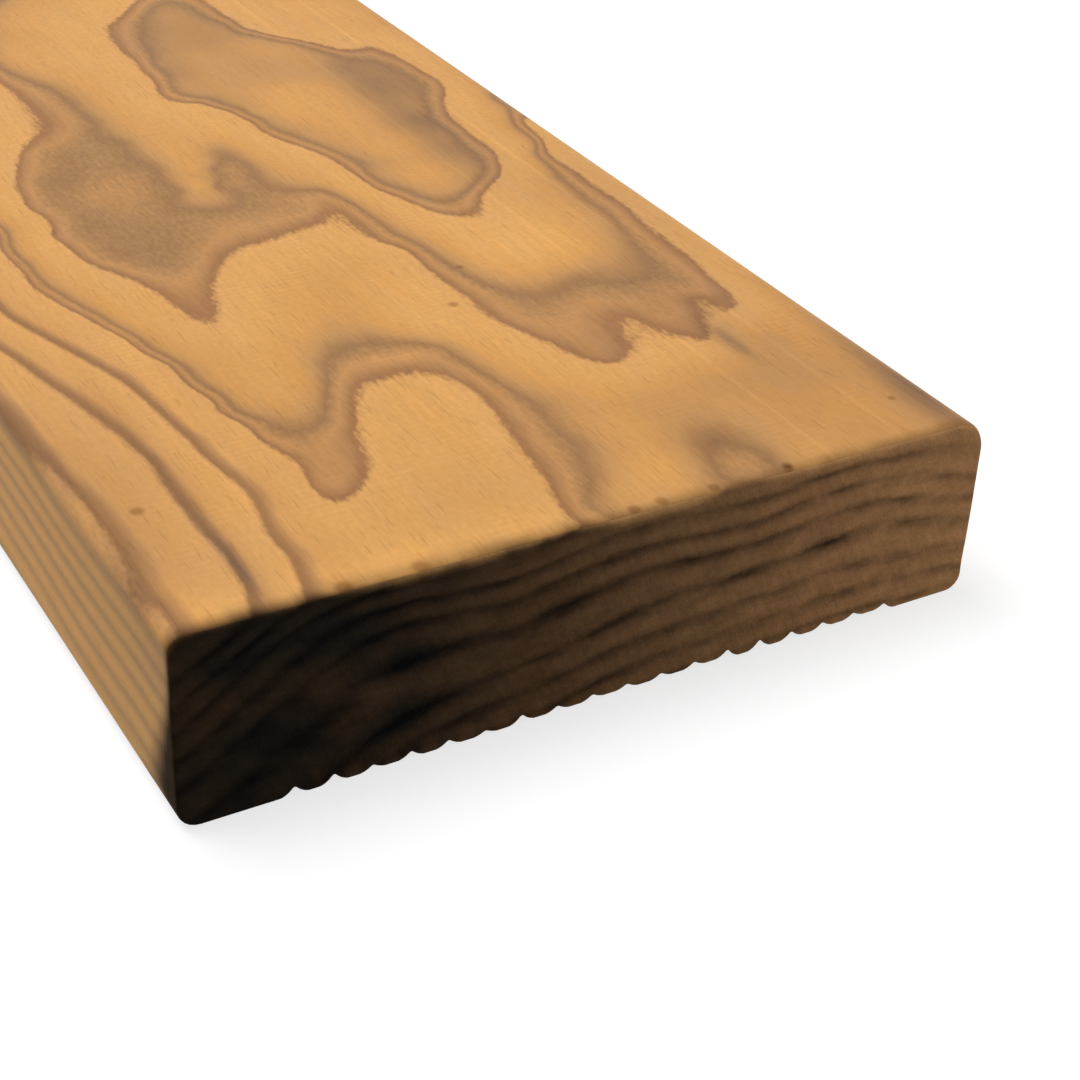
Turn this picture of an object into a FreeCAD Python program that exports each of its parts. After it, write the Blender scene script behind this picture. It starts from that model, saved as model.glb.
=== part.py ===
"""A softwood decking board, planed smooth on the tread side and reeded underneath.

Millimetres. The board lies on its reeded side: the origin is the middle of the
underside, X runs across the width, Y along the length and Z up to the tread face.
"""

import FreeCAD, Part
import math
import os

import Sketcher

# Driving dimensions: alias, value, what it is
DIMENSIONS = [
    ("board_length", 1800.0, "sawn length between the two butt ends"),
    ("board_width", 120.0, "planed width over the side edges"),
    ("board_thickness", 28.0, "planed thickness from rib crests to tread face"),
    ("tread_left_radius", 1.8, "rounding of the upper left long edge"),
    ("tread_right_radius", 4.8, "rounding of the upper right long edge"),
    ("under_left_radius", 3.0, "rounding of the lower left long edge"),
    ("under_right_radius", 2.5, "rounding of the lower right long edge"),
    ("groove_pitch", 5.35, "distance from one groove to the next"),
    ("groove_depth", 1.2, "depth of a groove below the rib crests"),
    ("groove_root_radius", 0.35, "small radius at the bottom of a groove"),
    ("rib_crest_width", 1.0, "flat that the planer leaves on each rib"),
    ("left_margin", 15.3, "left edge to the middle of the first groove"),
    ("right_margin", 13.8, "right edge to about the middle of the last groove"),
]

# Values that follow from the driving ones: alias, formula, what it is
DERIVED = [
    (
        "groove_count",
        "=round((board_width - left_margin - right_margin) / groove_pitch) + 1",
        "grooves that fit between the two margins",
    ),
    (
        "groove_span",
        "=(groove_count - 1) * groove_pitch",
        "distance from the first groove to the last",
    ),
    (
        "first_groove",
        "=left_margin - board_width / 2",
        "middle of the first groove, from the middle of the board",
    ),
]

# The long edges in the order they are rounded: name, side of the board, on the tread face, radius
ARRISES = [
    ("TreadLeftArris", -1, True, "tread_left_radius"),
    ("TreadRightArris", 1, True, "tread_right_radius"),
    ("UnderLeftArris", -1, False, "under_left_radius"),
    ("UnderRightArris", 1, False, "under_right_radius"),
]

# Two places closer than this are the same place
SAME_PLACE = 1e-6
# Share by which the reeding may differ from its grooves added up
VOLUME_SHARE = 0.001

POINT_START = 1
POINT_END = 2
POINT_CENTRE = 3
SKETCH_AXIS = -1


def make_sheet(document):
    """Write every dimension into a spreadsheet, one alias for each."""
    sheet = document.addObject("Spreadsheet::Sheet", "Dimensions")
    for row, (alias, value, meaning) in enumerate(DIMENSIONS + DERIVED, start=1):
        sheet.set(f"A{row}", meaning)
        sheet.set(f"B{row}", str(value))
        sheet.setAlias(f"B{row}", alias)
    document.recompute()
    return sheet


def origin_feature(body, role):
    """Return the plane or axis of the body's own origin that has this role."""
    for feature in body.Origin.OriginFeatures:
        if feature.Role == role:
            return feature
    raise LookupError(f"{body.Label} has no {role}")


def cross_section_sketch(body, name):
    """Start a sketch on the body's XZ plane, in the middle of the board's length."""
    sketch = body.newObject("Sketcher::SketchObject", name)
    sketch.AttachmentSupport = [(origin_feature(body, "XZ_Plane"), "")]
    sketch.MapMode = "FlatFace"
    return sketch


def bind(sketch, constraint, name, formula):
    """Add a dimension to the sketch and tie it to the spreadsheet."""
    index = sketch.addConstraint(constraint)
    sketch.renameConstraint(index, name)
    sketch.setExpression(f"Constraints.{name}", formula)


def draw_blank(sketch, width, thickness):
    """Draw the planed rectangle, standing on the X axis and centred on the Z axis."""
    corners = [
        FreeCAD.Vector(-width / 2, 0, 0),
        FreeCAD.Vector(width / 2, 0, 0),
        FreeCAD.Vector(width / 2, thickness, 0),
        FreeCAD.Vector(-width / 2, thickness, 0),
    ]
    under, right, tread, left = [
        sketch.addGeometry(Part.LineSegment(corners[i], corners[(i + 1) % 4]))
        for i in range(4)
    ]
    sides = [under, right, tread, left]
    for side, following in zip(sides, sides[1:] + sides[:1]):
        sketch.addConstraint(
            Sketcher.Constraint("Coincident", side, POINT_END, following, POINT_START)
        )
    for level in (under, tread):
        sketch.addConstraint(Sketcher.Constraint("Horizontal", level))
    for upright in (right, left):
        sketch.addConstraint(Sketcher.Constraint("Vertical", upright))
    sketch.addConstraint(
        Sketcher.Constraint(
            "Symmetric", under, POINT_START, under, POINT_END, SKETCH_AXIS, POINT_START
        )
    )
    bind(
        sketch,
        Sketcher.Constraint("DistanceX", under, POINT_START, under, POINT_END, width),
        "Width",
        "Dimensions.board_width",
    )
    bind(
        sketch,
        Sketcher.Constraint("DistanceY", right, POINT_START, right, POINT_END, thickness),
        "Thickness",
        "Dimensions.board_thickness",
    )


def rib_radius(half_pitch, half_crest, depth, root):
    """Radius of the rib's round back, from the size of the groove beside it.

    The rib's centre is half a pitch from the groove's middle, at the height
    sqrt(R^2 - half_crest^2). The root circle's centre is at depth - root, and
    the two circles touch: their centres are R + root apart. Squared, that is
    R * root + root_height * sqrt(R^2 - half_crest^2) = reach, which makes a
    quadratic in R.
    """
    root_height = depth - root
    reach = (half_pitch**2 - half_crest**2 + root_height**2 - root**2) / 2
    square = reach**2 + (root_height * half_crest) ** 2
    spread = (reach * root) ** 2 + (root_height**2 - root**2) * square
    return square / (reach * root + math.sqrt(spread))


def draw_groove(sketch, centre_x, pitch, depth, root, crest):
    """Draw one groove between two round-backed ribs, its mouth on the X axis.

    Each flank is the neighbouring rib's arc, whose centre lies half a pitch to
    the side, and a small arc at the root touches both flanks.
    """
    radius = rib_radius(pitch / 2, crest / 2, depth, root)
    rib_height = math.sqrt(radius**2 - (crest / 2) ** 2)
    root_height = depth - root
    upright = FreeCAD.Vector(0, 0, 1)

    left_centre = FreeCAD.Vector(centre_x - pitch / 2, rib_height, 0)
    right_centre = FreeCAD.Vector(centre_x + pitch / 2, rib_height, 0)
    root_centre = FreeCAD.Vector(centre_x, root_height, 0)
    left_mouth = FreeCAD.Vector(left_centre.x + crest / 2, 0, 0)
    right_mouth = FreeCAD.Vector(right_centre.x - crest / 2, 0, 0)

    crest_angle = math.atan2(-rib_height, crest / 2)
    touch_angle = math.atan2(root_height - rib_height, pitch / 2)

    mouth = sketch.addGeometry(Part.LineSegment(left_mouth, right_mouth))
    right_flank = sketch.addGeometry(
        Part.ArcOfCircle(
            Part.Circle(right_centre, upright, radius),
            math.pi - touch_angle,
            math.pi - crest_angle,
        )
    )
    root_arc = sketch.addGeometry(
        Part.ArcOfCircle(
            Part.Circle(root_centre, upright, root), -touch_angle, math.pi + touch_angle
        )
    )
    left_flank = sketch.addGeometry(
        Part.ArcOfCircle(
            Part.Circle(left_centre, upright, radius), crest_angle, touch_angle
        )
    )

    for constraint in (
        Sketcher.Constraint("PointOnObject", mouth, POINT_START, SKETCH_AXIS),
        Sketcher.Constraint("PointOnObject", mouth, POINT_END, SKETCH_AXIS),
        Sketcher.Constraint("Coincident", mouth, POINT_END, right_flank, POINT_END),
        Sketcher.Constraint("Coincident", mouth, POINT_START, left_flank, POINT_START),
        Sketcher.Constraint("Tangent", right_flank, POINT_START, root_arc, POINT_START),
        Sketcher.Constraint("Tangent", left_flank, POINT_END, root_arc, POINT_END),
        Sketcher.Constraint("Equal", left_flank, right_flank),
    ):
        sketch.addConstraint(constraint)

    bind(
        sketch,
        Sketcher.Constraint("DistanceX", root_arc, POINT_CENTRE, SKETCH_AXIS, POINT_START, -centre_x),
        "FirstGroove",
        "-Dimensions.first_groove",
    )
    bind(
        sketch,
        Sketcher.Constraint("DistanceX", left_flank, POINT_CENTRE, right_flank, POINT_CENTRE, pitch),
        "Pitch",
        "Dimensions.groove_pitch",
    )
    bind(
        sketch,
        Sketcher.Constraint("DistanceX", left_flank, POINT_CENTRE, mouth, POINT_START, crest / 2),
        "HalfCrest",
        "Dimensions.rib_crest_width / 2",
    )
    bind(
        sketch,
        Sketcher.Constraint("DistanceY", SKETCH_AXIS, POINT_START, root_arc, POINT_CENTRE, root_height),
        "RootHeight",
        "Dimensions.groove_depth - Dimensions.groove_root_radius",
    )
    bind(
        sketch,
        Sketcher.Constraint("Radius", root_arc, root),
        "RootRadius",
        "Dimensions.groove_root_radius",
    )
    bind(
        sketch,
        Sketcher.Constraint("DistanceX", mouth, POINT_START, mouth, POINT_END, pitch - crest),
        "Mouth",
        "Dimensions.groove_pitch - Dimensions.rib_crest_width",
    )


def long_edge_at(shape, across, height):
    """Name the edge that runs the whole length at this place of the section."""
    for number, edge in enumerate(shape.Edges, start=1):
        box = edge.BoundBox
        runs_along = box.YLength > shape.BoundBox.YLength / 2
        place = FreeCAD.Vector(box.Center.x, 0, box.Center.z)
        if runs_along and place.isEqual(FreeCAD.Vector(across, 0, height), SAME_PLACE):
            return f"Edge{number}"
    raise LookupError(f"no long edge at {across}, {height}")


def round_long_edge(body, base, name, across, height, radius):
    """Round one long edge with a radius from the sheet."""
    fillet = body.newObject("PartDesign::Fillet", name)
    fillet.Base = (base, [long_edge_at(base.Shape, across, height)])
    fillet.setExpression("Radius", f"Dimensions.{radius}")
    return fillet


def make_board(document, sheet):
    """Plane the blank, round its arrises and run the reeds along its underside."""
    body = document.addObject("PartDesign::Body", "Board")
    body.Label = "board"

    section = cross_section_sketch(body, "BlankSection")
    draw_blank(section, sheet.board_width, sheet.board_thickness)

    blank = body.newObject("PartDesign::Pad", "Blank")
    blank.Profile = section
    blank.SideType = "Symmetric"
    blank.setExpression("Length", "Dimensions.board_length")
    document.recompute()

    rounded = blank
    for name, side, on_tread, radius in ARRISES:
        across = side * sheet.board_width / 2
        height = sheet.board_thickness if on_tread else 0.0
        rounded = round_long_edge(body, rounded, name, across, height, radius)
        document.recompute()
    plain_volume = rounded.Shape.Volume

    groove_profile = cross_section_sketch(body, "GrooveSection")
    draw_groove(
        groove_profile,
        sheet.first_groove,
        sheet.groove_pitch,
        sheet.groove_depth,
        sheet.groove_root_radius,
        sheet.rib_crest_width,
    )
    groove = body.newObject("PartDesign::Pocket", "Groove")
    groove.Profile = groove_profile
    groove.SideType = "Symmetric"
    groove.setExpression("Length", "Dimensions.board_length")
    document.recompute()
    groove_volume = plain_volume - groove.Shape.Volume

    reeding = body.newObject("PartDesign::LinearPattern", "Reeding")
    reeding.Originals = [groove]
    reeding.Direction = (origin_feature(body, "X_Axis"), [""])
    reeding.setExpression("Length", "Dimensions.groove_span")
    reeding.setExpression("Occurrences", "Dimensions.groove_count")
    body.Tip = reeding
    document.recompute()

    removed = plain_volume - body.Shape.Volume
    expected = sheet.groove_count * groove_volume
    if groove_volume <= 0 or abs(removed - expected) > VOLUME_SHARE * expected:
        raise RuntimeError(f"the reeding removed {removed:.1f} mm3, not {expected:.1f}")
    return body


def check(document, bodies):
    """Stop if any object failed to compute or any board isn't one valid solid."""
    for item in document.Objects:
        if "Invalid" in item.State or "Error" in item.State:
            raise RuntimeError(f"{item.Name} failed to compute: {item.State}")
    for body in bodies:
        shape = body.Shape
        if shape.isNull() or not shape.isValid() or len(shape.Solids) != 1:
            raise RuntimeError(f"{body.Label} isn't one valid solid")


def export(bodies):
    """Write one STEP file for each body, named by its label."""
    os.makedirs("parts", exist_ok=True)
    for body in bodies:
        body.Shape.exportStep(f"parts/{body.Label}.step")
        box = body.Shape.BoundBox
        print(
            f"{body.Label}: {box.XLength:.2f} x {box.YLength:.2f} x {box.ZLength:.2f} mm, "
            f"volume {body.Shape.Volume:.0f} mm3"
        )


document = FreeCAD.newDocument("DeckingBoard")
dimensions = make_sheet(document)
board = make_board(document, dimensions)
check(document, [board])
export([board])
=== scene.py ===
"""Looks of a brown pressure-treated pine decking board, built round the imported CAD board.

The board lies on its reeded underside. Everything is in metres in the frame of the CAD:
X across the board, Y along it, Z up, with the end that the photograph shows at the
lowest Y. Sizes that belong to the wood are written in millimetres and multiplied by MM.
"""

import logging
import math
from dataclasses import dataclass, field
from enum import Enum

import bpy
import numpy as np
from mathutils import Matrix, Vector


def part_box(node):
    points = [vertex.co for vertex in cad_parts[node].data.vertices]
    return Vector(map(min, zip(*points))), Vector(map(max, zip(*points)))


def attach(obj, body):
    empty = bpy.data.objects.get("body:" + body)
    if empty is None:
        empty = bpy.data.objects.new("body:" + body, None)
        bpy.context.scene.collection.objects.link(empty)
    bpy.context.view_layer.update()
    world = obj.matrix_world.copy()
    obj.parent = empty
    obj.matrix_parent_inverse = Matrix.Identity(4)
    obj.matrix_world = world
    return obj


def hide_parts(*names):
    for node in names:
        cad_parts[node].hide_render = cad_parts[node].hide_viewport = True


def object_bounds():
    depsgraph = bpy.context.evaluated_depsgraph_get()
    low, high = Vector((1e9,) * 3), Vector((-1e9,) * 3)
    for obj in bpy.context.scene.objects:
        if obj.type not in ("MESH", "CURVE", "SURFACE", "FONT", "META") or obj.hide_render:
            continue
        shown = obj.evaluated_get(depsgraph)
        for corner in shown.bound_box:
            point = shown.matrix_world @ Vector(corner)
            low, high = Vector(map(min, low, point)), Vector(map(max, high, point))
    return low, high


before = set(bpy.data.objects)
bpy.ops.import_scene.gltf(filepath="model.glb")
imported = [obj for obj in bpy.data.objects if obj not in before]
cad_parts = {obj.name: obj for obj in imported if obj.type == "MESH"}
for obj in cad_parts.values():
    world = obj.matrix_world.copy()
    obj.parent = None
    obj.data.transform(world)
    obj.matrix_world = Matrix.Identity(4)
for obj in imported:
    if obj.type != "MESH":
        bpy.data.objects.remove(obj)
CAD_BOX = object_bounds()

LOG = logging.getLogger("decking_board")
MM = 0.001
NODE = "board"
AGE = "ring_age"
BROWN = "brown_patch"
END_STAIN_AND_SHADE = "end_stain_and_shade"
CREEP = "stain_creep"
SOAK = "late_wood_soak"
BAKE_MAP = "OFBake"


class Face(Enum):
    """How a stretch of the board's surface was made, and its place in the material list."""

    PLANED = 0
    SAWN = 1


# Growth rings. Ages count rings outwards from the one that the island of figure shows,
# so the late wood of a ring ends, and the next ring's pale early wood starts, where the
# age is a whole number. Points are (along from the near end, across from the middle), mm.
LATE_WOOD_ENDS = {
    5.0: [(0, -58.8), (20, -58.6), (40, -58.8), (60, -60)],
    4.0: [
        (0, -49.6), (6, -48), (14, -47.3), (38, -47.3), (46, -48.3), (55, -50.2),
        (64, -52.3), (72, -53.8), (95, -58),
    ],
    3.0: [
        (0, -42.8), (6, -41.3), (14, -40.8), (38, -40.8), (50, -41.6), (60, -42.9),
        (68, -45.2), (77, -48.2), (86, -50.8), (115, -55),
    ],
    2.0: [
        (0, -4.9), (10, -4.2), (20, -2.8), (30, -1.1), (38, -0.8), (42, -2.2), (45, -5.5),
        (45.3, -10), (44.3, -14.2), (39, -17.3), (30, -20.7), (22, -24.2), (19.4, -27.3),
        (19.4, -30.6), (24, -31.3), (33, -31.2), (38, -32.6), (46, -34.2), (57, -35.4),
        (67, -37.3), (77, -39.7), (85, -42.2), (92, -44.1), (102, -44.2), (116, -43.4),
    ],
    1.0: [
        (133, 57.5), (121, 55.2), (110, 53.2), (98, 52.2), (84, 52.5), (72, 51.3),
        (58, 50.8), (49, 49.8), (44, 48.2), (42.8, 46.5), (44.5, 44.8), (47.5, 43.6),
        (42, 41), (37.5, 39.2), (36, 37.5), (38, 35.3), (42, 32.2), (46, 31), (42, 28),
        (37, 24.6), (35.6, 22), (37, 19.3), (41, 17.3), (47, 15.2), (53, 13.2),
        (63, 12.4), (76, 11.5), (86, 9.6), (93, 8.2), (98, 7), (96, 4.8), (95.8, 2.4),
        (94.8, -1.5), (93.6, -6), (93, -11), (89.5, -15.4), (84, -19), (77, -21.6),
        (72.5, -23.6), (71.3, -25.4), (74, -27), (81, -28.2), (87, -29.3), (93, -32),
        (100, -34.7), (109, -35.8), (120, -35.6), (129, -34.8), (136, -32.6),
        (143, -29.6), (149, -25.4), (155, -22.6), (164, -22), (176, -22.6),
    ],
    0.0: [
        (88.6, 28.3), (91, 30.2), (95.5, 32.8), (99, 36.5), (103, 40.6), (109, 43.1),
        (118, 43.7), (128, 44.4), (134, 46), (140, 49.4), (146, 51), (154, 50.2),
        (163, 48.8), (167.5, 46.6), (166.8, 43.4), (168.5, 40.8), (174, 37.4),
        (180, 32.8), (187, 29.4), (196, 28.7), (208, 28.2), (89.5, 26), (92, 23),
        (98, 20.5), (105, 18), (113, 17.3), (121, 16.4), (128, 13.6), (134, 11.2),
        (141, 10.9), (147, 9.2), (152, 6.4), (154, 3.2), (158, 1.4), (164, 2.6),
        (176, 3.3), (190, 3.9), (196, 5), (199.5, 8), (204, 12), (211, 18),
    ],
}
LATE_WOOD_STARTS = {
    1.78: [
        (3, -0.6), (10, 3.2), (18, 6), (27, 6.2), (36, 4.8), (46, 3), (51, 2), (54, -1),
        (53, -16.2), (46, -19.2), (40, -22.6), (39, -26), (42, -29.2), (50, -31.4), (60, -32.9), (71, -35.6), (81, -38.3),
        (90, -40.9), (101, -41.9), (114, -41),
    ],
    0.78: [
        (129, 55.6), (119, 52.4), (108, 49.7), (97, 47.8), (86, 46.9), (76, 46.2),
        (69, 44.6), (62.5, 41.8), (60, 38.4), (60.5, 35), (63, 33.2), (62.5, 29.5),
        (61, 25.5), (62.5, 20.8), (68, 17.3), (75, 16), (84, 14.9), (93, 13.3),
        (102, 12.3), (108, 10.6), (110.5, 6.8), (114, 4), (122, 3.8), (131, 0.6),
        (124, -3.4), (117, -5.8), (109.5, -8.6), (118, -10.4), (129, -10.6), (140, -11.6),
        (151, -12.9), (161, -13.4), (170, -14.4), (177, -17.4), (190, -20),
    ],
    -0.22: [
        (97, 27.8), (100, 32.6), (105, 37.4), (112, 39), (122, 40.4), (134, 42),
        (145, 42), (151, 40.2), (158, 38.2), (167, 37.6), (173, 34.6), (179, 30.4),
        (188, 26.4), (198, 23.6), (98.6, 24.6), (104, 22.4), (112, 20.2), (122, 19.4),
        (130, 16.6), (136, 14), (144, 12.6), (150, 10.6), (156, 7), (163, 5.6),
        (174, 6.8), (184, 9.4), (193, 13), (203, 19),
    ],
}
# Wood between two edges, and brown patches where a ring only just meets the face
BETWEEN_EDGES = {
    4.8: [(10, -57.2), (40, -57.4)],
    4.5: [(20, -52.6), (50, -55)],
    3.5: [(20, -44), (45, -44.6), (66, -48.6)],
    2.5: [(10, -34.5), (24, -35), (40, -36.2), (60, -39)],
    2.3: [(8, -12), (20, -12), (32, -9), (12, -24), (6, -31)],
    1.89: [(50.5, -6), (51, -10), (49.5, -2), (33, -25), (4, 22)],
    1.82: [(54.5, -5), (55.5, -9.5), (54.5, -13)],
    1.7: [(58.5, -3.5), (61.5, -9.4), (59, -14.5), (5, 58), (20, 57.5), (35, 58.5)],
    1.77: [
        (0, 16.8), (0, 26.5), (7, 17.5), (12, 19.3), (14.5, 22.5), (10, 26), (4, 27.2),
    ],
    1.66: [
        (0, 34), (3, 40), (0, 47), (4, 52), (20, 38), (10, 36), (20, 48), (34, 46),
        (20, 30), (24, 24), (19, 17), (4, 31),
    ],
    1.62: [(30, 54), (28, 49), (29, 42), (40, 56), (27, 36)],
    1.6: [(8, 12), (20, 13), (32, 12), (28, 30), (28, 20), (34, 50), (50, 56)],
    1.4: [(39.5, 49), (41, 52)],
    1.41: [
        (60, 0), (72, 2), (84, -4), (74, -14), (60, -24), (50, -27), (64, -29), (80, 6),
        (92, -37), (110, -39), (130, -39),
    ],
    0.87: [
        (54, 40), (54, 34), (55, 26), (52, 46), (102, 4), (102, -4), (102, -10), (46, 38),
    ],
    0.835: [
        (112, 0), (120, 1), (115, -3), (108, -13), (97, -20), (97, -26), (102, -22),
        (104, -29), (113, -30.5), (124, -30), (134, -26.5), (140, -20), (108, -18),
        (118, -15), (130, -15.5), (146, -17),
    ],
    0.86: [(117, -23), (125, -23), (121, -26)],
    0.89: [
        (86, -23), (89, -27), (97, -31.8), (108, -33.7), (120, -33.6), (132, -31.8),
        (142, -27.5),
    ],
    0.68: [(113.5, -8.2), (126, -8.6)],
    0.55: [(118, -8), (126, -5.8), (133, -4.5), (138, -6.5)],
    0.4: [
        (72, 28), (80, 22), (78, 36), (86, 40), (118, 11), (140, 5), (112, 49),
        (150, 54.5), (150, -5), (170, -6), (190, -8), (205, -2), (180, 45), (195, 40),
        (143, -3),
    ],
    -0.3: [
        (115, 34), (130, 34), (145, 35), (158, 31), (170, 24), (180, 18), (166, 12),
        (150, 14), (135, 18), (115, 24.5),
    ],
    -0.5: [(122, 28.5), (136, 26), (150, 23)],
}
# Soft browner patches of the tread face: along, across, reach along, reach across, how
# brown. A negative one is a golden patch.
BROWN_PATCHES = (
    (133, 37, 30, 5, 1.1),
    (41, 23, 4, 5, 0.3),
    (50.5, -8, 2.2, 7, -0.4),
    (152, 46, 15, 5, 0.35),
    (80, 47, 50, 9, 0.12),
    (186, 20, 14, 8, 0.7),
    (170, 10, 18, 3.5, 0.5),
    (118, 22, 14, 3, 0.25),
    (128, -13.5, 26, 3.5, 0.2),
    (102, -22, 7, 7, 0.2),
    (30, -46.6, 40, 1.1, 0.35),
    (30, -38.8, 45, 1.5, -0.35),
    (18, 47, 34, 12, 0.35),
    (24, 34, 12, 12, 0.2),
    (4, 22, 11, 5.5, 0.3),
    (11.5, 22, 3, 4.5, 0.35),
    (9, 54.8, 15, 3.4, 0.95),
    (16, 57, 24, 2.6, 1.0),
    (82, 54, 30, 3, 0.35),
    (26, -53, 38, 5, 0.3),
    (38, -43, 50, 13, 0.2),
    (2, -55, 7, 5, -0.5),
    (4, 6, 7, 9, -0.35),
    (8, -46.8, 12, 1.2, 0.7),
    (25, -60.5, 60, 2.6, 0.8),
    (52, 41, 10, 8, 0.22),
    (32.5, 40.5, 4.5, 1.2, 1.1),
    (37.5, 39.9, 2.5, 1.6, 0.5),
    (38, 41, 7, 4, 0.4),
    (14, -12, 12, 15, 0.2),
    (4, -28, 3, 20, -0.2),
    (75, 33, 10, 12, -0.25),
)
# Patches of the near end that drank more of the treatment, or less where it is negative:
# across, up, reach across, reach up, how much
SOAKED_PATCHES = (
    (-29, 15.6, 8, 2.2, 1.0),
    (-8, 17.2, 5, 1.6, 0.9),
    (-32, 6.6, 6, 2.4, 1.0),
    (-25, 8.6, 5, 1.8, 0.6),
    (33, 15.2, 6, 1.4, 0.7),
    (-36, 20.4, 6, 1.8, 0.8),
    (-37, 23.8, 9, 1.6, 0.6),
    (-54, 22, 5, 3.5, 0.7),
    (-46, 9.5, 8, 2.5, 0.4),
    (-41, 15.8, 3.2, 2.4, -0.7),
    (-33.5, 11.8, 4, 2.2, -0.9),
    (-24, 12.4, 4, 2.2, -0.7),
    (-37.5, 8.4, 3.5, 2.2, -0.6),
    (-20.5, 18, 3, 1.2, -0.4),
    (12, 10.5, 9, 3, -0.2),
    (36, 12, 9, 1.6, -0.3),
    (20, 18.9, 26, 1.6, 0.4),
    (18, 14.3, 28, 1.8, 0.35),
    (-2, 11.8, 9, 1.8, 0.3),
    (-48, 17, 7, 3, -0.3),
    (-57, 20, 7, 9, -0.7),
)
# How far the end's dark stain reaches over the near tread arris, or pale wood over the
# end where it is negative: across, mm
STAIN_OVER_ARRIS = (
    (-60, 1.1), (-55, 1.3), (-51, 1.5), (-48.5, 1.7), (-46, 1.2), (-43, 1.3), (-40.5, 0.8),
    (-38, 0.2), (-34, -0.1), (-28, -0.5), (-20, -0.6), (-13, -0.3), (-9, 0.1), (-6.3, 0.6),
    (-3, -0.2), (1, -0.8), (7, -1.1), (12, -0.9), (15, -0.5), (17, 0.2), (21, 0.1),
    (28, -0.5), (37, -0.6), (46, -0.5), (55, -0.2), (60, 0),
)
# How strong the half-dark band beside that stain is, against its usual strength: across, mm
BAND_BESIDE_STAIN = (
    (-40, 1), (-36, 1.15), (-32, 1.5), (-28, 0.5), (-24, 1.1), (-12, 1.2), (-8, 1.5),
    (-4, 0.9), (0, 0.5), (5, 0.6), (8, 0.85), (13, 0.9), (16, 0.5), (20, 0.15), (24, 0.2),
    (28, 0.7), (32, 1.15), (36, 0.8), (42, 0.95), (50, 1.05), (60, 1),
)
# How much lower than its neighbours each of the 17 ribs was planed, from left, mm
RIBS_PLANED_OFF = (
    0.0, 0.0, 0.15, 0.08, 0.08, 0.1, 0.25, 0.28, 0.45, 0.35, 0.42, 0.5, 0.12, 0.15, 0.2,
    0.32, 0.45,
)
# How much deeper than drawn each of the 18 grooves is, from left, mm
GROOVES_DEEPER = (
    0.05, 0.1, -0.35, -0.1, -0.2, -0.5, 0.15, -0.15, -0.1, -0.1, -0.1, 0.05, 0.35, 0.3, 0.05,
    -0.05, -0.05, -0.05,
)
# The same rings where they come out of the near end: (across, up), mm
RINGS_ON_END = {
    5.0: [(-60, 25.4), (-58.8, 28)],
    4.0: [(-60, 22), (-54, 25.2), (-49.6, 28)],
    3.0: [(-60, 18.4), (-55, 21.4), (-49, 25), (-42.8, 28)],
    2.0: [
        (-60, 14.7), (-55, 18.2), (-49, 22.2), (-44, 25), (-39, 26.5), (-32, 26.9),
        (-24, 26.4), (-15, 26.3), (-10, 27), (-4.9, 28),
    ],
    1.0: [
        (-60, 10.4), (-54, 14), (-49, 17.6), (-44.5, 20.4), (-40, 22.5), (-35, 24.1),
        (-28, 24.3), (-21, 23.7), (-14, 23.5), (-7, 24.5), (0, 25.7), (7, 25.9),
        (14, 25.2), (22, 25.1), (30, 26), (40, 26.5), (50, 26), (58, 24),
    ],
    0.0: [
        (-60, 6.2), (-54, 9.8), (-48, 13.6), (-43, 16.6), (-38, 19), (-33, 20.7),
        (-28, 21.4), (-21, 20.7), (-15, 20.1), (-9, 21.2), (-3, 22.1), (5, 22.8),
        (13, 22.1), (22, 21.7), (29, 22.8), (36, 23.3), (44, 22.9), (52, 21.4), (59, 19.2),
    ],
    -1.0: [
        (-58, 1), (-52, 4.4), (-46, 8.3), (-41, 10.6), (-36.5, 13.4), (-32, 15.4),
        (-26, 16.1), (-20, 16.4), (-14, 15.8), (-9, 17), (-3, 18.2), (4, 19), (11, 19.1),
        (19, 18.7), (28, 18.9), (37, 19.4), (46, 18.9), (53, 17.4), (60, 15.8),
    ],
    -2.0: [
        (-42, 1), (-37, 3.8), (-33, 6), (-29, 7.7), (-24, 8.3), (-19, 8.9), (-14, 9.6),
        (-8, 10.3), (-3, 11.4), (2, 12.9), (8, 13.5), (16, 13.8), (24, 14.4), (29, 14.2),
        (34, 15.3), (40, 15.7), (46, 15.5), (53, 14), (60, 12.2),
    ],
    -3.0: [
        (-33, 1), (-27, 3.2), (-20, 4.7), (-12, 6), (-5, 6.9), (1, 8), (8, 8.9), (18, 9.1),
        (27, 9.3), (34, 10), (42, 10), (50, 9.2), (60, 7.5),
    ],
    -4.0: [(-10, 1.2), (0, 3.9), (10, 4.9), (22, 5.3), (33, 5.9), (44, 6.1), (58, 4.7)],
}


def smooth_step(share: np.ndarray) -> np.ndarray:
    """Ease from 0 to 1 with level ends: 3 s^2 - 2 s^3 of the share s, held to 0..1."""
    share = np.clip(share, 0, 1)
    return share * share * (3 - 2 * share)


def smooth_noise(places: np.ndarray, size: float, seed: int) -> np.ndarray:
    """Return noise from -1 to 1 along a line.

    Seeded random heights stand at every multiple of the size, and each place takes the
    eased mean of the two beside it.

    Args:
        places: Places along the line, from about -1000 to 3000 sizes.
        size: Distance from one random height to the next, in the places' own unit.
        seed: Seed of the random heights.

    Returns:
        The noise at each place.
    """
    heights = np.random.default_rng(seed).uniform(-1, 1, 4096)
    steps = np.asarray(places) / size + 1000
    before = np.floor(steps).astype(int)
    share = smooth_step(steps - before)
    return heights[before] * (1 - share) + heights[before + 1] * share


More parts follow.
